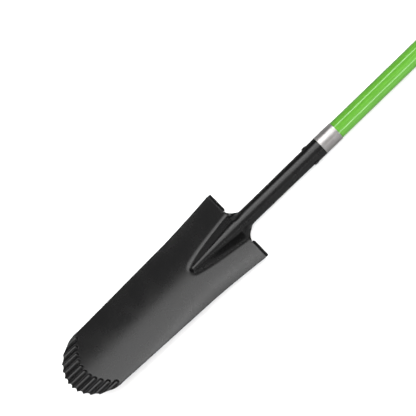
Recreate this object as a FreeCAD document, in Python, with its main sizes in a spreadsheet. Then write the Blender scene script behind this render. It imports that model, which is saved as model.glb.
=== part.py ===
import FreeCAD, Part
import Sketcher
import math
import os

from FreeCAD import Vector

# Detecting shovel with a long pressed blade and a fibreglass handle, in millimetres.
# It lies on its back, face up: +X runs along the handle to the grip, +Z is the blade's front and
# the origin is on the ground, midway between the cutting edge and the grip's end.
# Stations on the blade are given as "down", the distance from the shoulder towards the cutting
# edge, so a point of the neck or socket above the shoulder has a negative "down".

doc = FreeCAD.newDocument("detecting_shovel")
sheet = doc.addObject("Spreadsheet::Sheet", "Sizes")

SIZES = (
    ("tool_length", 1050),
    ("axis_height", 20),
    ("sheet_steel", 2.2),
    ("lap", 0.08),
    ("blade_length", 375),
    ("shoulder_half", 63.6),
    ("shoulder_ear", 5.2),
    ("ear_length", 110),
    ("ear_fade", 1.5),
    ("side_taper", 0.028),
    ("tip_half", 55.1),
    ("tip_round", 68.9),
    ("tip_fullness", 0.99),
    ("blade_drop", 12.8),
    ("blade_lift", 0.08),
    ("blade_curve", 0.00007),
    ("shoulder_dish", 170),
    ("dish_radius", 140),
    ("tip_dish", 195),
    ("dish_fade", 220),
    ("socket_radius", 15),
    ("socket_taper", 0.8),
    ("swage", 1),
    ("swage_length", 28),
    ("socket_length", 192),
    ("seam_gap", 1.5),
    ("swage_step", 10),
    ("neck_start", 2.5),
    ("neck_soft", 9),
    ("neck_length", 40.5),
    ("neck_roll", 2.4),
    ("neck_waist", 15),
    ("waist_along", 14),
    ("strip_reach", 44.5),
    ("frog_length", 98),
    ("frog_slope", 0.14),
    ("frog_nose", 5),
    ("frog_flank", 59.5),
    ("nose_flank", 32),
    ("flank_fade", 1.5),
    ("frog_fillet", 19),
    ("nose_fillet", 5),
    ("flute_count", 11),
    ("flute_pitch", 9.7),
    ("flute_half", 4.3),
    ("flute_rise", 3.4),
    ("flute_round", 1.9),
    ("flute_flank", 50),
    ("flute_fillet", 1.4),
    ("flute_hollow", 0.8),
    ("flute_reach", 37.5),
    ("flute_row_radius", 88),
    ("notch_depth", 3.7),
    ("tread_inner", 34.5),
    ("tread_outer", 68.3),
    ("tread_bend", 7),
    ("tread_angle", 78),
    ("tread_reach", 15.9),
    ("tread_flare", 0.4),
    ("core_play", 0.1),
    ("core_depth", 143),
    ("core_rise", 70),
    ("core_chamfer", 1),
    ("tube_radius", 16),
    ("tube_bore", 12.5),
    ("tube_top", 425),
    ("plug_length", 75),
    ("ferrule_wall", 0.8),
    ("ferrule_length", 36.3),
    ("ferrule_lip", 0.5),
    ("ferrule_bead", 1.6),
    ("rivet_radius", 3),
    ("rivet_head", 5.5),
    ("rivet_rise", 1.1),
    ("rivet_setback", 23),
    ("grip_socket", 70),
    ("grip_wall", 4.6),
    ("loop_start", 437),
    ("loop_width", 128),
    ("loop_thick", 22),
    ("loop_depth", 26),
    ("loop_foot", 28),
    ("sleeve_radius", 16.5),
    ("sleeve_length", 72),
    ("washer_radius", 7),
    ("washer_thick", 1.2),
    ("washer_sink", 1),
    ("washer_play", 0.2),
)

for row, (alias, value) in enumerate(SIZES, start=1):
    sheet.set("A%d" % row, alias)
    sheet.set("B%d" % row, str(value))
    sheet.setAlias("B%d" % row, alias)
doc.recompute()


def size(alias):
    """A driving dimension, as a plain number."""
    return float(getattr(sheet, alias))


FORWARD = 1
CUBIC = 3
NUDGE = 0.01
SHEET = size("sheet_steel")
LAP = size("lap")
AXIS = size("axis_height")
SHOULDER_X = size("blade_length") - size("tool_length") / 2

# Numbers of steps in the pressing's grids, and where its rows start and change their spacing.
ACROSS_STEPS = 120
STRIP_STEPS = 30
TREAD_ROWS = 12
TREAD_STEPS = 8
FINE_STEPS = 20
FROG_ROWS = (0.0, 3.0, 37)
MIDDLE_ROWS = (118.0, 10.0, 18)
FLUTE_ROWS = (294.0, 1.6, 51)
LAPPED_ROWS = (-6.0, 3.0, 2)
NECK_ROWS = (0.0, 1.5, 10)
ROLL_ROWS = (15.0, 3.0, 13)
SOCKET_ROWS = (60.0, 15.0, 7)
SWAGE_ROWS = (159.0, 3.0, 12)
FLUTES_FROM = 290.0
TREAD_CORNER = (0.3, 0.85, 1.0)
TREAD_ROOT = (-4.0, -2.0)

# Rough corner positions that a sketch starts from before its bound dimensions move them.
ROUGH_RADIUS = 10.0
ROUGH_DISTANCE = 5.0


# ---------------------------------------------------------------- the pressed blade's shape


def mix(first, second, share):
    return first + (second - first) * share


def clamp(share):
    return min(1.0, max(0.0, share))


def ease(share):
    """A smooth step from 0 to 1."""
    share = clamp(share)
    return share * share * (3 - 2 * share)


def softened(distance):
    """A distance that starts to count smoothly rather than with a corner."""
    soft = size("neck_soft")
    distance = max(0.0, distance)
    return distance ** 2 / (2 * soft) if distance < soft else distance - soft / 2


def stations(*runs):
    """Distances along the blade or socket, from (start, spacing, count) runs."""
    return [start + spacing * step for start, spacing, count in runs for step in range(count)]


def merge(low, high, fillet):
    """The higher of two heights, with their crossing filleted."""
    near = max(0.0, fillet - abs(low - high)) / fillet
    return max(low, high) + fillet * near ** 3 / 6


def round_drop(out, top, flank):
    """How far a round-topped ridge with straight flanks has fallen at this distance from its crest."""
    round_end = top * math.sin(flank)
    if out < round_end:
        return top - math.sqrt(top ** 2 - out ** 2)
    return top * (1 - math.cos(flank)) + (out - round_end) * math.tan(flank)


def half_width(down):
    """Half the blade's width, with its flared ears at the shoulder."""
    if down > size("blade_length") - size("tip_round"):
        return size("tip_half")
    ear = max(0.0, 1 - down / size("ear_length")) ** size("ear_fade")
    return size("shoulder_half") - size("side_taper") * down + size("shoulder_ear") * ear


def base_height(down, across):
    """The dished sheet without its frog."""
    past_frog = down - size("frog_length")
    bend = mix(1 / size("shoulder_dish"), 1 / size("dish_radius"), ease(down / size("frog_length")))
    bend = mix(bend, 1 / size("tip_dish"), ease(past_frog / size("dish_fade")))
    dish = (1 - math.sqrt(1 - (across * bend) ** 2)) / bend
    lift = size("blade_lift") * down + size("blade_curve") * down ** 2
    return AXIS - size("blade_drop") + lift + dish


def ridge_height(down):
    """The frog's crest, which leaves the socket's front and falls towards the cutting edge."""
    turn = size("frog_length") / 4
    if down < -turn:
        fall = 0.0
    elif down < turn:
        fall = (down + turn) ** 2 / (4 * turn)
    else:
        fall = down
    return AXIS + size("socket_radius") - size("frog_slope") * fall


def frog_share(down):
    """From 0 at the shoulder to 1 at the frog's nose."""
    return clamp(softened(down) / softened(size("frog_length")))


def frog_height(down, across):
    """A round-topped ridge with straight flanks that ends in a round nose."""
    share = frog_share(down)
    top = mix(size("socket_radius"), size("frog_nose"), share)
    flank = math.radians(mix(size("frog_flank"), size("nose_flank"), share ** size("flank_fade")))
    out = math.hypot(across, max(0.0, down - size("frog_length")))
    return ridge_height(down) - round_drop(out, top, flank)


def smooth_height(down, across):
    """The front skin without its flutes."""
    fillet = mix(size("frog_fillet"), size("nose_fillet"), frog_share(down))
    return merge(base_height(down, across), frog_height(down, across), fillet)


def flute_profile(down, across):
    """From 0 in a valley to 1 on a flute's round crest."""
    pitch = size("flute_pitch")
    lane = round(across / pitch)
    if abs(lane) > (size("flute_count") - 1) / 2:
        return 0.0
    centre = lane * pitch
    start = size("blade_length") - size("flute_reach") - centre ** 2 / size("flute_row_radius")
    out = math.hypot(across - centre, max(0.0, start + size("flute_half") - down))
    rise = size("flute_rise")
    height = rise - round_drop(out, size("flute_round"), math.radians(size("flute_flank")))
    return merge(0.0, height, size("flute_fillet")) / rise


def skin_points(down, across):
    """The front and back points of the sheet at one place on the blade."""
    front = smooth_height(down, across)
    slope_down = (smooth_height(down + NUDGE, across) - front) / NUDGE
    slope_across = (smooth_height(down, across + NUDGE) - front) / NUDGE
    normal = Vector(slope_down, -slope_across, 1)
    normal.normalize()
    flute = flute_profile(down, across) * size("flute_rise")
    point = Vector(SHOULDER_X - down, across, front)
    hollow = flute * size("flute_hollow")
    return point + Vector(0, 0, flute), point - normal * SHEET + Vector(0, 0, hollow)


def spline_skin(rows):
    """A smooth cubic skin that follows a grid of points and never swings past them."""
    knots = []
    counts = []
    for number in (len(rows), len(rows[0])):
        spans = number - CUBIC
        knots.append(list(range(spans + 1)))
        counts.append([CUBIC + 1] + [1] * (spans - 1) + [CUBIC + 1])
    skin = Part.BSplineSurface()
    skin.buildFromPolesMultsKnots(
        rows, counts[0], counts[1], knots[0], knots[1], False, False, CUBIC, CUBIC
    )
    return skin


def skin_solid(front_rows, back_rows):
    """A sheet between two grids of points, closed along its four edges."""
    front = spline_skin(front_rows)
    back = spline_skin(back_rows)
    first_u, last_u, first_v, last_v = front.bounds()
    pairs = [(front.uIso(end), back.uIso(end)) for end in (first_u, last_u)]
    pairs += [(front.vIso(end), back.vIso(end)) for end in (first_v, last_v)]
    faces = [front.toShape(), back.toShape()]
    for upper, lower in pairs:
        faces.append(Part.makeRuledSurface(upper.toShape(), lower.toShape(), FORWARD))
    shell = Part.Shell(faces)
    shell.sewShape()
    solid = Part.Solid(shell)
    if solid.Volume < 0:
        solid.reverse()
    return solid


def cutting_end(share):
    """How far down the blade reaches on the line at this share of its half-width."""
    straight = size("blade_length") - size("tip_round")
    end = straight + size("tip_round") * math.sqrt(1 - size("tip_fullness") * share ** 2)
    return end - size("notch_depth") * flute_profile(end, share * size("tip_half"))


def blade_sheet():
    """The dished blade from its shoulder to its cutting edge."""
    downs = stations(FROG_ROWS, MIDDLE_ROWS, FLUTE_ROWS)
    front_rows = []
    back_rows = []
    for station in downs:
        reach = max(0.0, station - FLUTES_FROM) / (downs[-1] - FLUTES_FROM)
        points = []
        for step in range(ACROSS_STEPS + 1):
            share = 2 * step / ACROSS_STEPS - 1
            down = station
            if station > FLUTES_FROM:
                down = mix(FLUTES_FROM, cutting_end(share), reach)
            points.append(skin_points(down, share * half_width(down)))
        front_rows.append([front for front, back in points])
        back_rows.append([back for front, back in points])
    return skin_solid(front_rows, back_rows)


def socket_skin(along):
    """The socket's outer radius at this distance above the shoulder, widest at its swaged mouth."""
    taper = size("socket_taper") * along / size("socket_length")
    swage_start = size("socket_length") - size("swage_length")
    swage = size("swage") * ease((along - swage_start) / size("swage_step"))
    return size("socket_radius") + taper + swage


def shoulder_angles(down):
    """The falling angle of the front skin from its crest outwards, at equal steps of its length."""
    step = size("strip_reach") / STRIP_STEPS / FINE_STEPS
    across = 0.0
    angles = []
    for _ in range(STRIP_STEPS):
        total = 0.0
        for _ in range(FINE_STEPS):
            rise = smooth_height(down, across + step) - smooth_height(down, across)
            angle = math.atan2(-rise, step)
            across += step * math.cos(angle)
            total += angle
        angles.append(total / FINE_STEPS)
    return angles


def neck_section(along, angles):
    """One side of the rolled strip: outer and inner points from the crest to its edge."""
    neck = size("neck_length")
    rolled = 1 - (1 - clamp(softened(along) / softened(neck))) ** size("neck_roll")
    past = max(0.0, along - size("neck_start")) / size("waist_along")
    waist = size("neck_waist") * past * math.exp(1 - past) * (1 - clamp(along / neck) ** 2)
    radius = socket_skin(max(0.0, along))
    closed = math.pi * radius - size("seam_gap") / 2
    count = len(angles)
    step = (mix(size("strip_reach"), closed, rolled) - waist) / count
    across = 0.0
    height = ridge_height(-along)
    outer = []
    inner = []
    for index in range(count + 1):
        before = angles[max(0, index - 1)]
        after = angles[min(count - 1, index)]
        level = 0.0 if index == 0 else (before + after) / 2
        facing = mix(level, index * step / radius, rolled)
        normal = Vector(0, math.sin(facing), math.cos(facing))
        point = Vector(SHOULDER_X + along, across, height)
        outer.append(point - normal * LAP)
        inner.append(point - normal * (SHEET - LAP))
        if index < count:
            heading = mix(angles[index], (index + 0.5) * step / radius, rolled)
            across += step * math.cos(heading)
            height -= step * math.sin(heading)
    return outer, inner


def mirrored(points):
    """A half section on both sides of the middle, as one row."""
    other = [Vector(point.x, -point.y, point.z) for point in reversed(points[1:])]
    return other + points


def neck_and_socket():
    """The strip above the shoulder, which rolls up into the socket."""
    outer_rows = []
    inner_rows = []
    for along in stations(LAPPED_ROWS, NECK_ROWS, ROLL_ROWS, SOCKET_ROWS, SWAGE_ROWS):
        outer, inner = neck_section(along, shoulder_angles(max(0.0, -along)))
        outer_rows.append(mirrored(outer))
        inner_rows.append(mirrored(inner))
    return skin_solid(outer_rows, inner_rows)


def tread_profile(offset, reach):
    """The rolled strip's section below the front skin, as (along, up) pairs from inside the sheet."""
    slope = math.atan(size("blade_lift"))
    radius = size("tread_bend")
    arc = radius * math.radians(size("tread_angle"))
    points = []
    for along in TREAD_ROOT:
        points.append((along - offset * math.sin(slope), -along * math.tan(slope) - offset * math.cos(slope)))
    for step in range(TREAD_ROWS + 1):
        walked = reach * step / TREAD_ROWS
        turn = slope + min(walked, arc) / radius
        run = max(0.0, walked - arc)
        along = (radius - offset) * math.sin(turn) - radius * math.sin(slope) + run * math.cos(turn)
        up = (radius - offset) * math.cos(turn) - radius * math.cos(slope) - run * math.sin(turn)
        points.append((along, up))
    return points


def tread(side):
    """The strip along one shoulder that is rolled back to take the foot."""
    top_rows = []
    under_rows = []
    for index in range(TREAD_STEPS + 1):
        across = mix(size("tread_inner"), size("tread_outer"), index / TREAD_STEPS)
        corner = min(index, TREAD_STEPS - index, len(TREAD_CORNER) - 1)
        reach = size("tread_reach") * TREAD_CORNER[corner]
        slope = (smooth_height(0, across + NUDGE) - smooth_height(0, across)) / NUDGE
        up_way = Vector(0, -side * slope * size("tread_flare"), 1)
        up_way.normalize()
        root = Vector(SHOULDER_X, side * across, smooth_height(0, across))
        rows = ((top_rows, LAP), (under_rows, SHEET - LAP))
        for row_list, offset in rows:
            profile = tread_profile(offset, reach)
            row_list.append([root + Vector(along, 0, 0) + up_way * up for along, up in profile])
    return skin_solid(top_rows, under_rows)


# ---------------------------------------------------------------- parts of the document


def bind(item, **expressions):
    """Binds properties of a document object to the sheet."""
    for name, expression in expressions.items():
        item.setExpression(name, expression)


def place(item, along, up="Sizes.axis_height"):
    """Puts an object on the handle's axis, or at another height above the ground."""
    item.setExpression(".Placement.Base.x", along)
    item.setExpression(".Placement.Base.z", up)


def closed_sketch(body, role, corners):
    """A closed outline of straight lines whose corners are bound to the sheet."""
    plane = next(item for item in body.Origin.OriginFeatures if item.Role == role)
    sketch = body.newObject("Sketcher::SketchObject", body.Name + "_outline")
    sketch.AttachmentSupport = [(plane, "")]
    sketch.MapMode = "FlatFace"
    count = len(corners)
    for index in range(count):
        start = Vector(math.cos(index), math.sin(index), 0) * ROUGH_RADIUS
        finish = Vector(math.cos(index + 1), math.sin(index + 1), 0) * ROUGH_RADIUS
        sketch.addGeometry(Part.LineSegment(start, finish), False)
    for index in range(count):
        following = (index + 1) % count
        sketch.addConstraint(Sketcher.Constraint("Coincident", index, 2, following, 1))
    for index, corner in enumerate(corners):
        for kind, expression in zip(("DistanceX", "DistanceY"), corner):
            if expression is None:
                sketch.addConstraint(Sketcher.Constraint("PointOnObject", index, 1, -1))
                continue
            rough = Sketcher.Constraint(kind, -1, 1, index, 1, ROUGH_DISTANCE)
            number = sketch.addConstraint(rough)
            sketch.setExpression("Constraints[%d]" % number, expression)
    return sketch


def turned(name, corners, along):
    """A body turned about the handle's axis. A corner with no radius lies on the axis."""
    body = doc.addObject("PartDesign::Body", name)
    sketch = closed_sketch(body, "XZ_Plane", corners)
    turn = body.newObject("PartDesign::Revolution", name + "_turn")
    turn.Profile = sketch
    turn.ReferenceAxis = (sketch, ["H_Axis"])
    turn.Angle = 360
    place(body, along)
    return body


def cylinder(name, radius, length, along, axis, start="0", up="Sizes.axis_height"):
    """A round bar along X or Y, or up Z, from its start point."""
    item = doc.addObject("Part::Cylinder", name)
    bind(item, Radius=radius, Height=length)
    turns = {
        "x": FreeCAD.Rotation(Vector(0, 1, 0), 90),
        "y": FreeCAD.Rotation(Vector(1, 0, 0), -90),
        "z": FreeCAD.Rotation(),
    }
    item.Placement = FreeCAD.Placement(Vector(0, 0, 0), turns[axis])
    place(item, along, up)
    item.setExpression(".Placement.Base.y", start)
    return item


def rivet_drill(name, along):
    """The cutter of a cross hole for a rivet, long enough for the socket or the grip."""
    length = "4 * Sizes.tube_radius"
    return cylinder(name, "Sizes.rivet_radius", length, along, "y", "-2 * Sizes.tube_radius")


def joined(name, kind, shapes):
    """A boolean of several objects."""
    item = doc.addObject("Part::" + kind, name)
    if kind == "Cut":
        item.Base, item.Tool = shapes
    else:
        item.Shapes = shapes
    return item


SHOULDER = "Sizes.blade_length - Sizes.tool_length / 2"
MOUTH = "%s + Sizes.socket_length" % SHOULDER
RIVET = "%s - Sizes.rivet_setback" % MOUTH
GRIP_START = "Sizes.tube_top - Sizes.grip_socket"
GRIP_RIVET = "Sizes.tube_top - Sizes.grip_socket / 2"
GRIP_OUTSIDE = "Sizes.tube_radius + Sizes.grip_wall"
WASHER_SEAT = GRIP_OUTSIDE + " - Sizes.washer_sink"


def make_blade():
    """The blade, with its treads, neck and socket, trimmed and drilled for the rivet."""
    pressed = doc.addObject("Part::Feature", "pressing")
    pressed.Shape = blade_sheet().fuse([neck_and_socket(), tread(1), tread(-1)])
    return joined("blade", "Cut", (pressed, rivet_drill("socket_drill", RIVET)))


def make_handle():
    """The tube, its two cores and the ferrule, all turned about the handle's axis."""
    top = "Sizes.tube_top - (%s)" % MOUTH
    tube = turned(
        "handle_tube_turning",
        (
            ("Sizes.core_play", "Sizes.tube_bore"),
            (top, "Sizes.tube_bore"),
            (top, "Sizes.tube_radius"),
            ("Sizes.core_play", "Sizes.tube_radius"),
        ),
        MOUTH,
    )
    bore = "Sizes.tube_radius + Sizes.core_play"
    outside = bore + " + Sizes.ferrule_wall"
    lip = outside + " + Sizes.ferrule_lip"
    ferrule = turned(
        "ferrule",
        (
            ("Sizes.core_play", bore),
            ("Sizes.ferrule_length", bore),
            ("Sizes.ferrule_length", outside),
            ("Sizes.ferrule_bead + Sizes.ferrule_lip", outside),
            ("Sizes.ferrule_bead", lip),
            ("Sizes.core_play + Sizes.ferrule_lip", lip),
            ("Sizes.core_play", outside),
        ),
        MOUTH,
    )
    socket_bore = "Sizes.socket_radius - Sizes.sheet_steel - Sizes.core_play"
    mouth_bore = socket_bore + " + Sizes.socket_taper"
    seat = "Sizes.tube_bore - Sizes.core_play"
    lower = turned(
        "lower_core_turning",
        (
            ("-Sizes.core_depth", None),
            ("Sizes.core_rise", None),
            ("Sizes.core_rise", seat + " - Sizes.core_chamfer"),
            ("Sizes.core_rise - Sizes.core_chamfer", seat),
            ("-Sizes.core_play", seat),
            ("-Sizes.core_play", mouth_bore + " + Sizes.swage"),
            ("Sizes.swage_step - Sizes.swage_length", mouth_bore + " + Sizes.swage - Sizes.core_play"),
            ("-Sizes.swage_length", mouth_bore + " - Sizes.core_play"),
            ("-Sizes.core_depth", socket_bore),
        ),
        MOUTH,
    )
    upper = turned(
        "upper_core_turning",
        (
            ("-Sizes.plug_length", None),
            ("-Sizes.core_chamfer", None),
            ("-Sizes.core_chamfer", seat),
            ("-Sizes.plug_length", seat),
        ),
        "Sizes.tube_top",
    )
    return tube, ferrule, lower, upper


def drilled(name, body, along):
    """The same body with the cross hole for a rivet."""
    return joined(name, "Cut", (body, rivet_drill(name + "_drill", along)))


def rivet_heads(name, along, seat, sink):
    """The two domed heads of a cross rivet, which start at sink below the seat radius."""
    rim = "(Sizes.rivet_head + Sizes.core_play)"
    dome_radius = "(%s * %s / Sizes.rivet_rise + Sizes.rivet_rise) / 2" % (rim, rim)
    height = "(%s + 2 * Sizes.rivet_rise)" % sink
    heads = []
    for side, sign in (("left", 1), ("right", -1)):
        dome = doc.addObject("Part::Sphere", "%s_%s_dome" % (name, side))
        bind(dome, Radius=dome_radius)
        place(dome, along)
        centre = "%s + Sizes.rivet_rise - %s" % (seat, dome_radius)
        dome.setExpression(".Placement.Base.y", "%d * (%s)" % (sign, centre))
        start = "%s - %s" % (seat, sink)
        if sign < 0:
            start = "-(%s) - %s" % (start, height)
        blank = cylinder("%s_%s_blank" % (name, side), "Sizes.rivet_head", height, along, "y", start)
        heads.append(joined("%s_%s_head" % (name, side), "MultiCommon", [dome, blank]))
    return heads


def rivet_shank(name, along, seat):
    """The shank, which ends inside both heads."""
    radius = "Sizes.rivet_radius - Sizes.core_play"
    half = "(%s + Sizes.rivet_rise / 2)" % seat
    return cylinder(name + "_shank", radius, "2 * " + half, along, "y", "-" + half)


def make_socket_rivet():
    """A rivet whose heads are hammered down to the round wall of the socket."""
    wall = "Sizes.socket_radius + Sizes.socket_taper + Sizes.swage"
    heads = rivet_heads("socket_rivet", RIVET, wall, "Sizes.rivet_rise")
    stock = joined("socket_rivet_stock", "MultiFuse", heads)
    start = RIVET + " - 2 * Sizes.rivet_head"
    saddle = cylinder("socket_saddle", wall, "4 * Sizes.rivet_head", start, "x")
    formed = joined("socket_rivet_heads", "Cut", (stock, saddle))
    return joined("socket_rivet", "MultiFuse", [formed, rivet_shank("socket_rivet", RIVET, wall)])


def rounded_loop(corners):
    """A closed flat path through (x, y, radius) corners."""
    count = len(corners)
    edges = []
    arcs = []
    for index, (x, y, radius) in enumerate(corners):
        here = Vector(x, y, 0)
        before = Vector(*corners[index - 1][:2], 0) - here
        after = Vector(*corners[(index + 1) % count][:2], 0) - here
        before.normalize()
        after.normalize()
        half = before.getAngle(after) / 2
        reach = radius / math.tan(half)
        middle = before + after
        middle.normalize()
        centre = here + middle * (radius / math.sin(half))
        arcs.append((here + before * reach, centre - middle * radius, here + after * reach))
    for index, (start, middle, finish) in enumerate(arcs):
        edges.append(Part.Arc(start, middle, finish).toShape())
        edges.append(Part.LineSegment(finish, arcs[(index + 1) % count][0]).toShape())
    return Part.Wire(edges)


def grip_loop():
    """The grip's bow and crossbar, an oval bar bent round the hand opening."""
    foot_x = size("loop_start")
    bar_x = size("tool_length") / 2 - size("sleeve_radius")
    side_y = (size("loop_width") - size("loop_thick")) / 2
    foot_y = size("loop_foot") / 2
    shoulder_x = foot_x + side_y - foot_y
    half = [
        (foot_x, foot_y, size("loop_thick") / 2),
        (shoulder_x, side_y, size("loop_thick")),
        (bar_x, side_y, size("sleeve_radius")),
    ]
    other = [(x, -y, radius) for x, y, radius in reversed(half)]
    path = rounded_loop(half + other)
    start = path.Edges[1].valueAt(path.Edges[1].FirstParameter)
    heading = path.Edges[1].tangentAt(path.Edges[1].FirstParameter)
    wide = size("loop_depth") / 2
    oval = Part.Ellipse(Vector(0, 0, 0), wide, size("loop_thick") / 2).toShape()
    oval.Placement = FreeCAD.Placement(
        start, FreeCAD.Rotation(Vector(0, 0, 1), Vector(0, 0, 1).cross(heading), heading, "XZY")
    )
    edges = path.Edges[1:] + path.Edges[:1]
    return Part.Wire(edges).makePipeShell([Part.Wire([oval])], True, False)


def washer_cylinder(name, radius, length, side):
    """A disc along Y that starts on the washer's seat, on one side of the grip."""
    start = WASHER_SEAT if side > 0 else "-(%s) - %s" % (WASHER_SEAT, length)
    return cylinder(name, radius, length, GRIP_RIVET, "y", start)


def make_washers():
    """The two washers, sunk in the sides of the grip's barrel."""
    left = washer_cylinder("washer_disc_left", "Sizes.washer_radius", "Sizes.washer_thick", 1)
    right = washer_cylinder("washer_disc_right", "Sizes.washer_radius", "Sizes.washer_thick", -1)
    discs = joined("washer_discs", "MultiFuse", [left, right])
    return joined("grip_washers", "Cut", (discs, rivet_drill("washer_hole", GRIP_RIVET)))


def make_grip_frame():
    """The D-grip's barrel, bow and crossbar, flat where it rests on the ground."""
    length = "Sizes.loop_start - (%s)" % GRIP_START
    barrel = cylinder("grip_barrel", GRIP_OUTSIDE, length, GRIP_START, "x")
    bow = doc.addObject("Part::Feature", "grip_bow")
    bow.Shape = grip_loop()
    bow.Placement = FreeCAD.Placement(Vector(0, 0, AXIS), FreeCAD.Rotation())
    whole = joined("grip_whole", "MultiFuse", [barrel, bow])
    depth = "Sizes.grip_socket + Sizes.core_play"
    bore = cylinder("grip_bore", "Sizes.tube_radius + Sizes.core_play", depth, GRIP_START, "x")
    ground = doc.addObject("Part::Box", "grip_ground")
    bind(ground, Length="Sizes.tool_length", Width="Sizes.loop_width", Height="Sizes.axis_height")
    ground.setExpression(".Placement.Base.y", "-Sizes.loop_width / 2")
    ground.setExpression(".Placement.Base.z", "-Sizes.axis_height")
    recess = "Sizes.washer_radius + Sizes.washer_play"
    left = washer_cylinder("washer_recess_left", recess, "Sizes.washer_radius", 1)
    right = washer_cylinder("washer_recess_right", recess, "Sizes.washer_radius", -1)
    tools = [bore, rivet_drill("grip_drill", GRIP_RIVET), ground, left, right]
    tooling = joined("grip_tooling", "MultiFuse", tools)
    return joined("grip_frame", "Cut", (whole, tooling))


def make_grip():
    """The D-grip: frame, soft sleeve, rivet and washers."""
    frame = make_grip_frame()
    make_washers()
    head_seat = WASHER_SEAT + " + Sizes.washer_thick"
    heads = rivet_heads("grip_rivet", GRIP_RIVET, head_seat, "0")
    joined("grip_rivet", "MultiFuse", heads + [rivet_shank("grip_rivet", GRIP_RIVET, head_seat)])
    bar = "Sizes.tool_length / 2 - Sizes.sleeve_radius"
    cover = cylinder(
        "sleeve_blank", "Sizes.sleeve_radius", "Sizes.sleeve_length", bar, "y", "-Sizes.sleeve_length / 2"
    )
    joined("grip_sleeve", "Cut", (cover, frame))


NODES = (
    "blade",
    "socket_rivet",
    "ferrule",
    "handle_tube",
    "lower_core",
    "upper_core",
    "grip_frame",
    "grip_sleeve",
    "grip_rivet",
    "grip_washers",
)

make_blade()
make_socket_rivet()
tube_body, ferrule_body, lower_body, upper_body = make_handle()
drilled("handle_tube", tube_body, GRIP_RIVET)
drilled("lower_core", lower_body, RIVET)
drilled("upper_core", upper_body, GRIP_RIVET)
make_grip()
doc.recompute()

for item in doc.Objects:
    if "Invalid" in item.State or "Error" in item.State:
        raise RuntimeError("%s is %s, %s" % (item.Name, item.State, item.getStatusString()))

os.makedirs("parts", exist_ok=True)
for node in NODES:
    part = doc.getObject(node)
    if part.Shape.isNull() or not part.Shape.isValid():
        raise RuntimeError("%s has no valid shape" % node)
    part.Shape.exportStep("parts/%s.step" % node)
    print(node, len(part.Shape.Solids), round(part.Shape.Volume), part.Shape.BoundBox)
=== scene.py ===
import math

import bpy
from mathutils import Matrix, Vector


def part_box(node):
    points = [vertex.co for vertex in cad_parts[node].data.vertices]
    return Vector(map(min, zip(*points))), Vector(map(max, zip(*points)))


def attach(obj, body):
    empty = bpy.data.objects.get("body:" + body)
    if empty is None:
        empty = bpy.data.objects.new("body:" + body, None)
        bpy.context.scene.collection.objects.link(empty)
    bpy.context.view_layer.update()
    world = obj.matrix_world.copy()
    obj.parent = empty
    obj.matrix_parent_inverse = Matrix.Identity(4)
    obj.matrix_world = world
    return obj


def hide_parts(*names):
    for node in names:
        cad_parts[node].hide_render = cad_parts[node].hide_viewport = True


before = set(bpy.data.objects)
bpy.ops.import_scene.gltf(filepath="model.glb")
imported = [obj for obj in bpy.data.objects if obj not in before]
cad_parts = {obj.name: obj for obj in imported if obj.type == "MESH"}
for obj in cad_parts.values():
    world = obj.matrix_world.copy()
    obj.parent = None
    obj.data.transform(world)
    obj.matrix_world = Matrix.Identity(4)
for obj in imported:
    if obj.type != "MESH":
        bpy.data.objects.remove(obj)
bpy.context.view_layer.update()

# Everything is in metres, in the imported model's frame: +X runs along the handle to the grip, +Z is
# the blade's front and the floor is at z = 0. "down" is the distance from the blade's shoulder
# towards the cutting edge, "along" the distance above the shoulder, and "across" the distance from
# the middle.


def box_corners(node):
    """The lowest and highest corners of a CAD node."""
    return [Vector(corner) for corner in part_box(node)]


TUBE_LOW, TUBE_HIGH = box_corners("handle_tube")
FERRULE_LOW, FERRULE_HIGH = box_corners("ferrule")
SLEEVE_LOW, SLEEVE_HIGH = box_corners("grip_sleeve")
AXIS = (TUBE_LOW.z + TUBE_HIGH.z) / 2

# The pressing as a whole.
SHEET = 0.0022
BLADE_LENGTH = 0.375
SOCKET_LENGTH = 0.192
SHOULDER_X = box_corners("blade")[1].x - SOCKET_LENGTH

# The blade's outline, with ears that flare out at the shoulder and a round cutting edge. The trim
# keeps the rounded rim of the teeth inside the CAD box.
SHOULDER_HALF = 0.0634
SIDE_TAPER = 0.028
EAR_FLARE = 0.0052
EAR_LENGTH = 0.11
EAR_FADE = 1.5
TIP_HALF = 0.0551
TIP_ROUND = 0.0689
TIP_FULLNESS = 0.99
TIP_TRIM = 0.00013
TOOTH_DEPTH = 0.0037

# The dish: its radii across the blade, and how its middle lies to the handle's axis.
SHOULDER_DISH = 0.17
NOSE_DISH = 0.14
TIP_DISH = 0.195
TIP_DISH_RUN = 0.22
BLADE_DROP = 0.0128
BLADE_SLOPE = 0.08
BLADE_CURVE = 0.07

# The frog: a round-topped ridge that runs from the socket's front to a nose.
FROG_LENGTH = 0.098
FROG_SLOPE = 0.14
RIDGE_RADIUS = 0.015
NOSE_RADIUS = 0.005
FROG_FLANK = 59.5
NOSE_FLANK = 32
FLANK_FADE = 1.5
FROG_FILLET = 0.019
NOSE_FILLET = 0.005

# The flutes behind the cutting edge, which start along an arc. FLUTE_BACK is the share of their rise
# that shows on the back.
FLUTE_COUNT = 11
FLUTE_PITCH = 0.0097
FLUTE_RISE = 0.0033
FLUTE_ROUND = 0.004
FLUTE_FLANK = 46
FLUTE_FILLET = 0.0006
FLUTE_LENGTH = 0.0322
FLUTE_ARC = 0.088
FLUTE_BACK = 0.8

# The neck, where a strip of the sheet rolls up into the socket.
STRIP_REACH = 0.0445
NECK_START = 0.0025
NECK_LENGTH = 0.0405
NECK_SOFT = 0.009
ROLL_POWER = 2.4
WAIST_DEPTH = 0.015
WAIST_ALONG = 0.014
SEAM_HALF = 0.00075
SOCKET_TAPER = 0.0008
SWAGE_RISE = 0.001
SWAGE_LENGTH = 0.028
SWAGE_BLEND = 0.01

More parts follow.
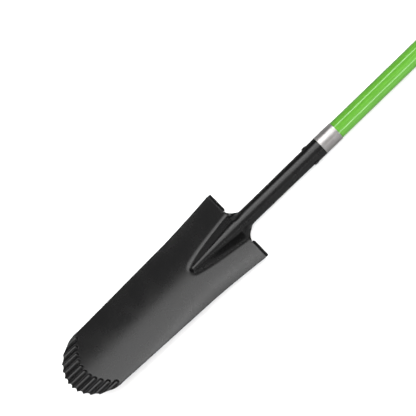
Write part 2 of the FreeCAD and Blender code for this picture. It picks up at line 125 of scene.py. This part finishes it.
# The foot treads.
TREAD_INNER = 0.0343
TREAD_BEND = 0.007
TREAD_ANGLE = 78
TREAD_REACH = 0.0145
TREAD_CORNER = 0.0045
CORNER_REACH = 0.34
TREAD_FLARE = 0.4

# How finely the pressing is divided. The stations are stretches of rows, as (first, last, steps),
# and past ROUND_START the blade's rows bend towards the round cutting edge.
TINY = 0.00001
STRIP_COLUMNS = 56
WING_COLUMNS = 42
TREAD_ROWS = 16
ANGLE_STEPS = 20
ROUND_START = 0.29
BLADE_STATIONS = ((0.0, 0.112, 56), (0.112, 0.304, 24), (0.304, BLADE_LENGTH, 78))
SOCKET_STATIONS = ((0.0, 0.054, 36), (0.054, 0.162, 18), (0.162, SOCKET_LENGTH, 24))

# The pressing's rounded rim: how far it stands out, and at which depths through the sheet it has
# which share of that.
RIM_BULGE = 0.00045
RIM_ROUND = ((0.13, 0.7), (0.5, 1.0), (0.87, 0.7))

# The arcs on the corners of turned pieces, and the most of a side that one arc may take.
CORNER_STEPS = 4
CORNER_SHARE = 0.45


# ---------------------------------------------------------------- small helpers


def mix(first, second, share):
    """The value at this share of the way from first to second."""
    return first + (second - first) * share


def clamp(value):
    return min(1.0, max(0.0, value))


def ease(share):
    """A share from 0 to 1 that starts and ends gently."""
    share = clamp(share)
    return share * share * (3 - 2 * share)


def softened(distance):
    """A distance that starts to count smoothly rather than with a corner."""
    distance = max(0.0, distance)
    return distance ** 2 / (2 * NECK_SOFT) if distance < NECK_SOFT else distance - NECK_SOFT / 2


def spread(first, last, count):
    """count + 1 even steps from first to last."""
    return [mix(first, last, index / count) for index in range(count + 1)]


def make_piece(name, points, faces, material, replaced=()):
    """A smooth shaded mesh that rides on the shovel and stands for its CAD nodes."""
    mesh = bpy.data.meshes.new(name)
    mesh.from_pydata([tuple(point) for point in points], [], faces)
    mesh.validate()
    mesh.polygons.foreach_set("use_smooth", [True] * len(mesh.polygons))
    mesh.materials.append(material)
    piece = bpy.data.objects.new(name, mesh)
    bpy.context.scene.collection.objects.link(piece)
    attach(piece, "root")
    if replaced:
        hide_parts(*replaced)
    return piece


def lathe(profile, centre, axis="x", segments=128):
    """Points and faces of a closed (along, radius) profile turned about an axis through centre."""
    count = len(profile)
    points = []
    for turn in range(segments):
        angle = 2 * math.pi * turn / segments
        for far, radius in profile:
            side = radius * math.sin(angle)
            up = radius * math.cos(angle)
            offset = Vector((far, side, up)) if axis == "x" else Vector((side, far, up))
            points.append(centre + offset)
    faces = []
    for turn in range(segments):
        here = turn * count
        there = (turn + 1) % segments * count
        for index in range(count):
            following = (index + 1) % count
            face = (here + index, here + following, there + following, there + index)
            faces.append(face if axis == "x" else face[::-1])
    return points, faces


def rounded_profile(corners, radius):
    """A closed (along, radius) outline with each corner cut by a small arc."""
    count = len(corners)
    outline = []
    for index, corner in enumerate(corners):
        here = Vector(corner)
        before = Vector(corners[index - 1]) - here
        after = Vector(corners[(index + 1) % count]) - here
        cut = min(radius, before.length * CORNER_SHARE, after.length * CORNER_SHARE)
        start = here + before.normalized() * cut
        finish = here + after.normalized() * cut
        for share in spread(0.0, 1.0, CORNER_STEPS):
            first = start.lerp(here, share)
            second = here.lerp(finish, share)
            outline.append(tuple(first.lerp(second, share)))
    return outline


# ---------------------------------------------------------------- materials


class Nodes:
    """A material's nodes, with short calls for the ones that repeat."""

    def __init__(self, name, **sockets):
        self.material = bpy.data.materials.new(name)
        self.material.use_nodes = True
        self.tree = self.material.node_tree
        self.shader = self.tree.nodes["Principled BSDF"]
        self.place = self.add("ShaderNodeTexCoord").outputs["Object"]
        for socket, value in sockets.items():
            self.shader.inputs[socket.replace("_", " ")].default_value = value

    def add(self, kind, inputs=None, **settings):
        """A new node, with its input sockets and its own settings filled in."""
        node = self.tree.nodes.new(kind)
        for name, value in settings.items():
            setattr(node, name, value)
        for name, value in (inputs or {}).items():
            self.put(value, node.inputs[name])
        return node

    def put(self, value, socket):
        """Link another node's output to a socket, or give the socket a plain value."""
        if isinstance(value, bpy.types.NodeSocket):
            self.tree.links.new(value, socket)
        else:
            socket.default_value = value

    def stretched(self, factors):
        """The object's coordinates, scaled by axis."""
        inputs = {"Vector": self.place, "Scale": factors}
        return self.add("ShaderNodeMapping", inputs).outputs["Vector"]

    def noise(self, size, detail, place=None):
        """Noise whose features are about this size, in metres."""
        inputs = {"Vector": place or self.place, "Scale": 1 / size, "Detail": detail}
        return self.add("ShaderNodeTexNoise", inputs).outputs["Fac"]

    def ramp(self, factor, low, high, start=0.3, finish=0.7):
        """A number or colour that runs from low to high."""
        if isinstance(low, tuple):
            node = self.add("ShaderNodeValToRGB", {"Fac": factor})
            stops = node.color_ramp.elements
            stops[0].position, stops[1].position = start, finish
            stops[0].color, stops[1].color = low + (1,), high + (1,)
            return node.outputs["Color"]
        inputs = {"Value": factor, "From Min": start, "From Max": finish}
        inputs |= {"To Min": low, "To Max": high}
        return self.add("ShaderNodeMapRange", inputs).outputs["Result"]

    def blend(self, factor, first, second):
        """One colour over another."""
        node = self.add("ShaderNodeMix", data_type="RGBA")
        sockets = (node.inputs[0], node.inputs[6], node.inputs[7])
        for socket, value in zip(sockets, (factor, first, second)):
            self.put(value, socket)
        return node.outputs[2]

    def edges(self, low=0.52, high=0.6):
        """1 on sharp convex edges and 0 elsewhere."""
        pointiness = self.add("ShaderNodeNewGeometry").outputs["Pointiness"]
        return self.ramp(pointiness, 0.0, 1.0, low, high)

    def bump(self, *layers):
        """Layers of (height, strength, depth in metres), one on the other."""
        normal = None
        for height, strength, depth in layers:
            inputs = {"Height": height, "Strength": strength, "Distance": depth}
            if normal:
                inputs["Normal"] = normal
            normal = self.add("ShaderNodeBump", inputs).outputs["Normal"]
        self.tree.links.new(normal, self.shader.inputs["Normal"])

    def drive(self, **sockets):
        """Link the shader's sockets, and give the finished material."""
        for name, value in sockets.items():
            self.tree.links.new(value, self.shader.inputs[name.replace("_", " ")])
        return self.material


def powder_coat():
    """Satin black powder coat over steel, with its fine orange peel and a painted highlight on its
    sharp convex edges.
    """
    nodes = Nodes("powder_coat", IOR=1.5)
    cloud = nodes.noise(0.03, 3)
    speck = nodes.noise(0.0009, 2)
    colour = nodes.ramp(cloud, (0.0014, 0.0014, 0.0015), (0.0022, 0.0021, 0.0021))
    # Painted highlight: sharp convex edges are lightened to grey, standing in for the light they
    # catch.
    colour_with_painted_highlight = nodes.blend(nodes.edges(), colour, (0.022, 0.021, 0.021, 1))
    nodes.bump((speck, 0.25, 0.00012), (nodes.noise(0.006, 2), 0.06, 0.0004))
    return nodes.drive(Base_Color=colour_with_painted_highlight, Roughness=nodes.ramp(cloud, 0.24, 0.3))


def polished_steel():
    """Bright turned steel with fine marks round the ferrule."""
    nodes = Nodes("polished_steel", Metallic=0.88, Anisotropic=0.3)
    rings = nodes.noise(0.0012, 5, nodes.stretched((1.0, 0.12, 0.12)))
    smear = nodes.noise(0.012, 3)
    colour = nodes.ramp(smear, (0.38, 0.365, 0.36), (0.46, 0.445, 0.44))
    nodes.bump((rings, 0.08, 0.00005))
    return nodes.drive(Base_Color=colour, Roughness=nodes.ramp(rings, 0.3, 0.4))


def green_fibreglass():
    """Glossy green gel coat with faint glass strands along the tube."""
    coat = {"Coat_Weight": 1.0, "Coat_Roughness": 0.05}
    nodes = Nodes("green_fibreglass", Specular_IOR_Level=0.15, **coat)
    strands = nodes.noise(0.0011, 3, nodes.stretched((0.03, 1.0, 1.0)))
    cloud = nodes.noise(0.05, 2)
    colour = nodes.ramp(strands, (0.067, 0.225, 0.019), (0.083, 0.26, 0.026))
    deep = nodes.blend(nodes.ramp(cloud, 0.0, 0.25), colour, (0.062, 0.21, 0.016, 1))
    nodes.bump((strands, 0.03, 0.0001))
    return nodes.drive(Base_Color=deep, Roughness=nodes.ramp(strands, 0.2, 0.3))


def black_nylon():
    """Moulded glass-filled nylon with a spark-eroded grain and a painted highlight on its sharp convex
    edges.
    """
    nodes = Nodes("black_nylon", IOR=1.5)
    grain = nodes.noise(0.0007, 3)
    cloud = nodes.noise(0.02, 3)
    colour = nodes.ramp(cloud, (0.014, 0.014, 0.0145), (0.021, 0.021, 0.022))
    # Painted highlight: sharp convex edges are lightened towards grey, standing in for the light they
    # catch.
    colour_with_painted_highlight = nodes.blend(nodes.edges(0.53, 0.62), colour, (0.05, 0.05, 0.051, 1))
    nodes.bump((grain, 0.35, 0.00015))
    return nodes.drive(Base_Color=colour_with_painted_highlight, Roughness=nodes.ramp(grain, 0.45, 0.6))


def soft_rubber():
    """Matt elastomer with a fine dusty grain."""
    nodes = Nodes("soft_rubber", Sheen_Weight=0.15, Sheen_Roughness=0.5)
    grain = nodes.noise(0.0005, 3)
    cloud = nodes.noise(0.012, 3)
    colour = nodes.ramp(cloud, (0.017, 0.017, 0.017), (0.026, 0.026, 0.026))
    nodes.bump((grain, 0.4, 0.0001))
    return nodes.drive(Base_Color=colour, Roughness=nodes.ramp(cloud, 0.7, 0.85))


def zinc_steel():
    """Zinc plated fasteners."""
    nodes = Nodes("zinc_steel", Metallic=1.0)
    cloud = nodes.noise(0.002, 4)
    colour = nodes.ramp(cloud, (0.5, 0.5, 0.52), (0.66, 0.66, 0.67))
    nodes.bump((nodes.noise(0.0006, 3), 0.1, 0.0001))
    return nodes.drive(Base_Color=colour, Roughness=nodes.ramp(cloud, 0.28, 0.42))


def hardwood():
    """Turned ash, with its grain along the handle."""
    nodes = Nodes("hardwood")
    grain = nodes.noise(0.0025, 5, nodes.stretched((0.06, 1.0, 1.0)))
    colour = nodes.ramp(grain, (0.4, 0.25, 0.12), (0.62, 0.45, 0.27))
    nodes.bump((grain, 0.2, 0.0003))
    return nodes.drive(Base_Color=colour, Roughness=nodes.ramp(grain, 0.5, 0.7))


def pale_floor():
    """Matt studio paper."""
    nodes = Nodes("pale_floor")
    cloud = nodes.noise(0.4, 3)
    colour = nodes.ramp(cloud, (0.83, 0.83, 0.83), (0.86, 0.86, 0.86))
    nodes.bump((nodes.noise(0.004, 3), 0.03, 0.0005))
    return nodes.drive(Base_Color=colour, Roughness=nodes.ramp(cloud, 0.65, 0.75))


COAT = powder_coat()
STEEL = polished_steel()
GREEN = green_fibreglass()
NYLON = black_nylon()
RUBBER = soft_rubber()
ZINC = zinc_steel()
WOOD = hardwood()


# ---------------------------------------------------------------- the blade


def merge(low, high, fillet):
    """The higher of two heights, with their crossing filleted."""
    near = max(0.0, fillet - abs(low - high)) / fillet
    return max(low, high) + fillet * near ** 3 / 6


def round_drop(out, top, flank):
    """How far a round-topped ridge with straight flanks has fallen at this distance from its crest."""
    round_end = top * math.sin(flank)
    if out < round_end:
        return top - math.sqrt(top ** 2 - out ** 2)
    return top * (1 - math.cos(flank)) + (out - round_end) * math.tan(flank)


def half_width(down):
    """Half the blade's width, with its flared ears at the shoulder."""
    if down > BLADE_LENGTH - TIP_ROUND:
        return TIP_HALF
    ear = max(0.0, 1 - down / EAR_LENGTH) ** EAR_FADE
    return SHOULDER_HALF - SIDE_TAPER * down + EAR_FLARE * ear


def base_height(down, across):
    """The dished sheet without its frog."""
    bend = mix(1 / SHOULDER_DISH, 1 / NOSE_DISH, ease(down / FROG_LENGTH))
    bend = mix(bend, 1 / TIP_DISH, ease((down - FROG_LENGTH) / TIP_DISH_RUN))
    dish = (1 - math.sqrt(1 - (across * bend) ** 2)) / bend
    return AXIS - BLADE_DROP + BLADE_SLOPE * down + BLADE_CURVE * down ** 2 + dish


def ridge_height(down):
    """The frog's crest, which leaves the socket's front and falls towards the cutting edge."""
    turn = FROG_LENGTH / 4
    if down < -turn:
        fall = 0.0
    elif down < turn:
        fall = (down + turn) ** 2 / (4 * turn)
    else:
        fall = down
    return AXIS + RIDGE_RADIUS - FROG_SLOPE * fall


def frog_share(down):
    """From 0 at the shoulder to 1 at the frog's nose."""
    return clamp(softened(down) / softened(FROG_LENGTH))


def frog_height(down, across):
    """A round-topped ridge with straight flanks that ends in a round nose."""
    share = frog_share(down)
    top = mix(RIDGE_RADIUS, NOSE_RADIUS, share)
    flank = math.radians(mix(FROG_FLANK, NOSE_FLANK, share ** FLANK_FADE))
    out = math.hypot(across, max(0.0, down - FROG_LENGTH))
    return ridge_height(down) - round_drop(out, top, flank)


def smooth_height(down, across):
    """The front skin without its flutes."""
    fillet = mix(FROG_FILLET, NOSE_FILLET, frog_share(down))
    return merge(base_height(down, across), frog_height(down, across), fillet)


def flute_profile(down, across):
    """From 0 in a valley to 1 on a flute's round crest."""
    lane = round(across / FLUTE_PITCH)
    if abs(lane) > (FLUTE_COUNT - 1) / 2:
        return 0.0
    centre = lane * FLUTE_PITCH
    start = BLADE_LENGTH - FLUTE_LENGTH - centre ** 2 / FLUTE_ARC
    out = math.hypot(across - centre, max(0.0, start - down))
    height = FLUTE_RISE - round_drop(out, FLUTE_ROUND, math.radians(FLUTE_FLANK))
    return merge(0.0, height, FLUTE_FILLET) / FLUTE_RISE


def slope_at(down, across):
    """How steeply the front skin rises away from the middle."""
    return (smooth_height(down, across + TINY) - smooth_height(down, across)) / TINY


def skin_points(down, across):
    """The front and back points of the sheet at one place on the blade."""
    front = smooth_height(down, across)
    slope_down = (smooth_height(down + TINY, across) - front) / TINY
    normal = Vector((slope_down, -slope_at(down, across), 1)).normalized()
    rise = Vector((0, 0, flute_profile(down, across) * FLUTE_RISE))
    point = Vector((SHOULDER_X - down, across, front))
    return point + rise, point - normal * SHEET + rise * FLUTE_BACK


def cutting_end(share):
    """How far down the blade reaches on the line at this share of its half-width."""
    end = BLADE_LENGTH - TIP_ROUND * (1 - math.sqrt(1 - TIP_FULLNESS * share ** 2))
    return end - TIP_TRIM - TOOTH_DEPTH * flute_profile(end, share * TIP_HALF)


def socket_skin(along):
    """The socket's outer radius, widest at its swaged mouth."""
    taper = SOCKET_TAPER * along / SOCKET_LENGTH
    swage = ease((along - SOCKET_LENGTH + SWAGE_LENGTH) / SWAGE_BLEND)
    return RIDGE_RADIUS + taper + SWAGE_RISE * swage


def shoulder_angles(count):
    """The falling angle of the skin at the shoulder from its crest outwards, at equal steps."""
    step = STRIP_REACH / count / ANGLE_STEPS
    across = 0.0
    angles = []
    for _ in range(count):
        total = 0.0
        for _ in range(ANGLE_STEPS):
            rise = smooth_height(0, across + step) - smooth_height(0, across)
            angle = math.atan2(-rise, step)
            across += step * math.cos(angle)
            total += angle
        angles.append(total / ANGLE_STEPS)
    return angles


def neck_section(along, angles):
    """One side of the rolled strip: outer and inner points from its crest to its edge."""
    rolled = 1 - (1 - clamp(softened(along) / softened(NECK_LENGTH))) ** ROLL_POWER
    past = max(0.0, along - NECK_START) / WAIST_ALONG
    waist = WAIST_DEPTH * past * math.exp(1 - past) * (1 - clamp(along / NECK_LENGTH) ** 2)
    radius = socket_skin(along)
    closed = math.pi * radius - SEAM_HALF
    count = len(angles)
    step = (mix(STRIP_REACH, closed, rolled) - waist) / count
    across = 0.0
    height = ridge_height(-along)
    outer = []
    inner = []
    for index in range(count + 1):
        level = (angles[max(0, index - 1)] + angles[min(count - 1, index)]) / 2 if index else 0.0
        facing = mix(level, index * step / radius, rolled)
        point = Vector((SHOULDER_X + along, across, height))
        outer.append(point)
        inner.append(point - Vector((0, math.sin(facing), math.cos(facing))) * SHEET)
        if index < count:
            heading = mix(angles[index], (index + 0.5) * step / radius, rolled)
            across += step * math.cos(heading)
            height -= step * math.sin(heading)
    return outer, inner


def tread_profile(offset, reach):
    """The rolled strip's section past the shoulder, as (along, up) pairs below the front skin."""
    slope = math.atan(BLADE_SLOPE)
    radius = TREAD_BEND - offset
    arc = TREAD_BEND * math.radians(TREAD_ANGLE)
    start = Vector((math.sin(slope), math.cos(slope))) * TREAD_BEND
    points = []
    for walked in spread(0, reach, TREAD_ROWS)[1:]:
        turn = slope + min(walked, arc) / TREAD_BEND
        run = max(0.0, walked - arc)
        out = Vector((math.sin(turn), math.cos(turn)))
        onward = Vector((out.y, -out.x))
        points.append(out * radius - start + onward * run)
    return points


class Sheet:
    """Grids of front and back points that share rows, closed into one solid mesh round their rim."""

    def __init__(self):
        self.front = []
        self.back = []
        self.faces = []

    def add(self, front, back):
        """A point of the front with its partner on the back. Gives their number."""
        self.front.append(front)
        self.back.append(back)
        return len(self.front) - 1

    def stitch(self, first, second):
        """Faces between two rows of point numbers of the same length."""
        for index in range(len(first) - 1):
            self.faces.append((first[index], first[index + 1], second[index + 1], second[index]))

    def solid(self, bulge):
        """All points and faces, with a rounded rim that stands out by bulge."""
        count = len(self.front)
        points = self.front + self.back
        faces = list(self.faces)
        faces += [tuple(number + count for number in reversed(face)) for face in self.faces]
        sides = [side for face in self.faces for side in zip(face, face[1:] + face[:1])]
        used = set(sides)
        rim = [(first, second) for first, second in sides if (second, first) not in used]
        outward = {}
        for first, second in rim:
            run = (self.front[second] - self.front[first]).normalized()
            through = (self.front[first] - self.back[first]).normalized()
            out = run.cross(through)
            for number in (first, second):
                outward[number] = outward.get(number, Vector()) + out
        bands = {}
        for number, out in outward.items():
            out = out.normalized() * bulge
            bands[number] = [number]
            for depth, stand in RIM_ROUND:
                bands[number].append(len(points))
                points.append(self.front[number].lerp(self.back[number], depth) + out * stand)
            bands[number].append(number + count)
        for first, second in rim:
            here = bands[first]
            there = bands[second]
            for level in range(len(RIM_ROUND) + 1):
                faces.append((there[level], here[level], here[level + 1], there[level + 1]))
        return points, faces


def stations(stretches):
    """The distances of the rows through these stretches, each given as (first, last, steps)."""
    distances = [stretches[0][0]]
    for stretch in stretches:
        distances += spread(*stretch)[1:]
    return distances


def column_shares(angles):
    """Where the columns stand from edge to edge, as shares of the blade's half-width."""
    outer, _ = neck_section(0.0, angles)
    shares = [point.y / half_width(0) for point in outer]
    shares += spread(shares[-1], 1.0, WING_COLUMNS)[1:]
    return [-share for share in reversed(shares[1:])] + shares


def add_blade(sheet, shares):
    """The dished blade from the shoulder to the cutting edge. Gives the row at the shoulder."""
    rows = []
    for station in stations(BLADE_STATIONS):
        past = (station - ROUND_START) / (BLADE_LENGTH - ROUND_START)
        row = []
        for share in shares:
            down = mix(ROUND_START, cutting_end(share), past) if past > 0 else station
            front, back = skin_points(down, share * half_width(down))
            row.append(sheet.add(front, back))
        rows.append(row)
    for first, second in zip(rows, rows[1:]):
        sheet.stitch(first, second)
    return rows[0]


def add_socket(sheet, shoulder_row, angles):
    """The neck and the rolled socket, which grow from the middle of the shoulder."""
    last = shoulder_row[WING_COLUMNS:-WING_COLUMNS]
    for along in stations(SOCKET_STATIONS)[1:]:
        outer, inner = neck_section(along, angles)
        row = []
        for index in range(-STRIP_COLUMNS, STRIP_COLUMNS + 1):
            flip = Vector((1, -1 if index < 0 else 1, 1))
            row.append(sheet.add(outer[abs(index)] * flip, inner[abs(index)] * flip))
        sheet.stitch(row, last)
        last = row


def make_blade():
    """The pressing: dished blade, frog, flutes, treads, neck and rolled socket in one sheet."""
    sheet = Sheet()
    angles = shoulder_angles(STRIP_COLUMNS)
    shares = column_shares(angles)
    shoulder_row = add_blade(sheet, shares)
    add_socket(sheet, shoulder_row, angles)
    add_treads(sheet, shoulder_row, shares)
    points, faces = sheet.solid(RIM_BULGE)
    return make_piece("blade_pressing", points, faces, COAT, ["blade"])


def add_treads(sheet, shoulder_row, shares):
    """The strips along the shoulders that are rolled back to take the foot."""
    edge = half_width(0)
    for side in (-1, 1):
        grid = []
        for number, share in zip(shoulder_row, shares):
            across = share * edge * side
            if across <= TREAD_INNER:
                continue
            inset = clamp(min(across - TREAD_INNER, edge - across) / TREAD_CORNER)
            reach = TREAD_REACH * mix(CORNER_REACH, 1.0, math.sqrt(1 - (1 - inset) ** 2))
            up_way = Vector((0, -side * slope_at(0, across) * TREAD_FLARE, 1)).normalized()
            root = Vector((SHOULDER_X, side * across, smooth_height(0, across)))
            column = [number]
            for pair in zip(tread_profile(0.0, reach), tread_profile(SHEET, reach)):
                front, back = (root + Vector((part.x, 0, 0)) + up_way * part.y for part in pair)
                column.append(sheet.add(front, back))
            grid.append(column)
        rows = list(zip(*grid))
        for first, second in zip(rows, rows[1:]):
            sheet.stitch(second, first)


# ---------------------------------------------------------------- handle


# The ferrule: the lip at its lower end, and the groove near its upper end.
FERRULE_BORE = 0.0161
FERRULE_WALL = 0.0169
LIP_TRIM = 0.0002
LIP_LENGTH = 0.0016
LIP_STEP = 0.0005
GROOVE_PLACE = 0.0038
GROOVE_HALF = 0.0004
GROOVE_DEPTH = 0.00025
FERRULE_ROUND = 0.0004

TUBE_BORE = 0.0125
TUBE_ROUND = 0.0005
TURNED_SEGMENTS = 160

# The sleeve. Its points nearer than SLEEVE_INSIDE are its bore's, which is squeezed to the oval of
# the bar. A ring's shape is pairs of (place along the bar from its middle, depth).
SLEEVE_BORE = 0.0135
SLEEVE_INSIDE = 0.0145
SLEEVE_CHAMFER = 0.0012
SLEEVE_ROUND = 0.0006
BAR_THICKNESS = 0.815
BAR_HEIGHT = 0.963
RING_REACH = 0.028
RING_COUNT = 9
RING_SHAPE = ((-0.0014, 0), (-0.0008, 0.0009), (0.0008, 0.0009), (0.0014, 0))


def make_ferrule():
    """The polished sleeve, with a rolled lip at its lower end and a fine groove near the other."""
    length = FERRULE_HIGH.x - FERRULE_LOW.x
    lip = (FERRULE_HIGH.z - FERRULE_LOW.z) / 2 - LIP_TRIM
    groove = length - GROOVE_PLACE
    corners = [
        (0.0, FERRULE_BORE),
        (0.0, lip),
        (LIP_LENGTH, lip),
        (LIP_LENGTH + LIP_STEP, FERRULE_WALL),
        (groove - GROOVE_HALF, FERRULE_WALL),
        (groove, FERRULE_WALL - GROOVE_DEPTH),
        (groove + GROOVE_HALF, FERRULE_WALL),
        (length, FERRULE_WALL),
        (length, FERRULE_BORE),
    ]
    profile = rounded_profile(corners, FERRULE_ROUND)
    centre = Vector((FERRULE_LOW.x, 0, AXIS))
    points, faces = lathe(profile, centre, segments=TURNED_SEGMENTS)
    return make_piece("ferrule_sleeve", points, faces, STEEL, ["ferrule"])


def make_tube():
    """The fibreglass tube."""
    length = TUBE_HIGH.x - TUBE_LOW.x
    radius = (TUBE_HIGH.z - TUBE_LOW.z) / 2
    corners = [(0.0, TUBE_BORE), (0.0, radius), (length, radius), (length, TUBE_BORE)]
    profile = rounded_profile(corners, TUBE_ROUND)
    centre = Vector((TUBE_LOW.x, 0, AXIS))
    points, faces = lathe(profile, centre, segments=TURNED_SEGMENTS)
    return make_piece("fibreglass_tube", points, faces, GREEN, ["handle_tube"])


def make_sleeve():
    """The soft sleeve on the crossbar, with shallow rings round it and an oval bore for the bar."""
    radius = (SLEEVE_HIGH.z - SLEEVE_LOW.z) / 2
    half = (SLEEVE_HIGH.y - SLEEVE_LOW.y) / 2
    centre = (SLEEVE_LOW + SLEEVE_HIGH) / 2
    centre.x = SLEEVE_HIGH.x - radius
    corners = [(-half, radius - SLEEVE_CHAMFER), (-half + SLEEVE_CHAMFER, radius)]
    for middle in spread(-RING_REACH, RING_REACH, RING_COUNT - 1):
        corners += [(middle + far, radius - depth) for far, depth in RING_SHAPE]
    corners += [(half - SLEEVE_CHAMFER, radius), (half, radius - SLEEVE_CHAMFER)]
    corners += [(half, SLEEVE_BORE), (-half, SLEEVE_BORE)]
    outline = rounded_profile(corners, SLEEVE_ROUND)
    points, faces = lathe(outline, centre, "y")
    for number, point in enumerate(points):
        if outline[number % len(outline)][1] < SLEEVE_INSIDE:
            out = point - centre
            points[number] = centre + Vector((out.x * BAR_THICKNESS, out.y, out.z * BAR_HEIGHT))
    return make_piece("sleeve_rubber", points, faces, RUBBER, ["grip_sleeve"])


def dress(node, material):
    """A CAD node that keeps its shape and takes a better material."""
    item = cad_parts[node]
    item.data.materials.clear()
    item.data.materials.append(material)


# ---------------------------------------------------------------- stage


FLOOR_HALF = 30.0
FLOOR_GAP = 0.0005

# The background's strength above and below the horizon, and the heights between which it changes.
STUDIO_GLOW = 0.03
FLOOR_GLOW = 0.3
STUDIO_HEIGHT = -0.05
FLOOR_HEIGHT = -0.45

# Each lamp's angle from straight up towards +Y, how many degrees it spans, and its radiance.
SOFTBOX = ("softbox", 32, 56, 2.65)
TUBE_LINES = (("tube_line_left", 41, 6, 9), ("tube_line_right", -49, 6, 9))

# The camera, whose turn makes the handle leave the picture at the top right.
CAMERA_TILT = 6
CAMERA_TURN = 44.05
CAMERA_DISTANCE = 4.2
CAMERA_SENSOR = 36
CAMERA_REACH = 100
VIEW_WIDTH = 0.6827
VIEW_LEFT = 0.0463
VIEW_UP = 0.0315


def make_floor():
    """The pale floor, which the shovel lies on and the coat doesn't mirror."""
    mesh = bpy.data.meshes.new("floor")
    signs = ((-1, -1), (1, -1), (1, 1), (-1, 1))
    corners = [(x * FLOOR_HALF, y * FLOOR_HALF, 0) for x, y in signs]
    mesh.from_pydata(corners, [], [(0, 1, 2, 3)])
    mesh.materials.append(pale_floor())
    floor = bpy.data.objects.new("floor", mesh)
    floor.location.z = -FLOOR_GAP
    bpy.context.scene.collection.objects.link(floor)
    floor.visible_glossy = False


def lamp(name, angle, span, radiance, distance=2.2, length=3.0, middle=-0.1):
    """A strip lamp along the shovel, centred on x = middle, that faces the handle's axis."""
    light = bpy.data.lights.new(name, "AREA")
    light.shape = "RECTANGLE"
    light.size = length
    light.size_y = 2 * distance * math.tan(math.radians(span / 2))
    light.energy = radiance * math.pi * light.size * light.size_y
    item = bpy.data.objects.new(name, light)
    item.visible_camera = False
    turn = math.radians(angle)
    aim = Vector((0, math.sin(turn), math.cos(turn)))
    long_way = Vector((1, 0, 0))
    axes = Matrix((long_way, aim.cross(long_way), aim)).transposed().to_4x4()
    item.matrix_world = Matrix.Translation(Vector((middle, 0, AXIS)) + aim * distance) @ axes
    bpy.context.scene.collection.objects.link(item)
    return item


def link_lamp(item, piece, state):
    """Tell a lamp to light only this piece, or to leave it out."""
    group = bpy.data.collections.new(item.name + "_link")
    group.objects.link(piece)
    group.collection_objects[0].light_linking.link_state = state
    item.light_linking.receiver_collection = group


def make_world():
    """A dim studio, a little brighter below the horizon, where a gloss would mirror the floor."""
    world = bpy.data.worlds.new("studio")
    world.use_nodes = True
    tree = world.node_tree
    height = tree.nodes.new("ShaderNodeSeparateXYZ")
    glow = tree.nodes.new("ShaderNodeMapRange")
    place = tree.nodes.new("ShaderNodeTexCoord")
    tree.links.new(place.outputs["Generated"], height.inputs["Vector"])
    tree.links.new(height.outputs["Z"], glow.inputs["Value"])
    glow.inputs["From Min"].default_value = FLOOR_HEIGHT
    glow.inputs["From Max"].default_value = STUDIO_HEIGHT
    glow.inputs["To Min"].default_value = FLOOR_GLOW
    glow.inputs["To Max"].default_value = STUDIO_GLOW
    background = tree.nodes["Background"]
    tree.links.new(glow.outputs["Result"], background.inputs["Strength"])
    background.inputs["Color"].default_value = (1, 1, 1, 1)
    world.cycles.sampling_method = "NONE"
    bpy.context.scene.world = world


def make_lights(tube):
    """Soft lamps over the whole shovel, and two narrow ones for the tube's highlight lines."""
    link_lamp(lamp(*SOFTBOX), tube, "EXCLUDE")
    for line in TUBE_LINES:
        link_lamp(lamp(*line), tube, "INCLUDE")
    lamp("right_card", -25, 46, 0.3)
    lamp("bend_card", -8, 110, 2.4, length=0.9, middle=1.65)
    lamp("toe_card", -8, 110, 0.6, length=0.9, middle=-1.7)
    lamp("left_strip", 42, 3, 5.5, distance=2.0)
    lamp("right_strip", -49, 2.2, 5, distance=2.0)
    lamp("low_fill", -82, 44, 0.55, distance=0.8, length=1.25, middle=0.2)
    flood = lamp("flood", 0, 90, 2.6, distance=4.0, length=8.0)
    flood.visible_glossy = False


def make_camera():
    """A long lens square to the handle and nearly straight over the blade."""
    tilt = math.radians(CAMERA_TILT)
    turn = math.radians(CAMERA_TURN)
    back = Vector((0, -math.sin(tilt), math.cos(tilt)))
    along = Vector((1, 0, 0))
    across = back.cross(along)
    right = along * math.cos(turn) - across * math.sin(turn)
    up = along * math.sin(turn) + across * math.cos(turn)
    shoulder = Vector((SHOULDER_X, 0, AXIS))
    target = shoulder - right * VIEW_LEFT + up * VIEW_UP
    lens = bpy.data.cameras.new("camera")
    lens.sensor_width = CAMERA_SENSOR
    lens.lens = lens.sensor_width * CAMERA_DISTANCE / VIEW_WIDTH
    lens.clip_end = CAMERA_REACH
    camera = bpy.data.objects.new("camera", lens)
    axes = Matrix((right, up, back)).transposed().to_4x4()
    camera.matrix_world = Matrix.Translation(target + back * CAMERA_DISTANCE) @ axes
    bpy.context.scene.collection.objects.link(camera)
    bpy.context.scene.camera = camera


make_camera()
make_floor()
make_world()
make_blade()
make_ferrule()
make_lights(make_tube())
make_sleeve()
dress("socket_rivet", COAT)
dress("lower_core", WOOD)
dress("upper_core", WOOD)
dress("grip_frame", NYLON)
dress("grip_rivet", ZINC)
dress("grip_washers", ZINC)

bpy.context.scene.view_settings.view_transform = "Standard"
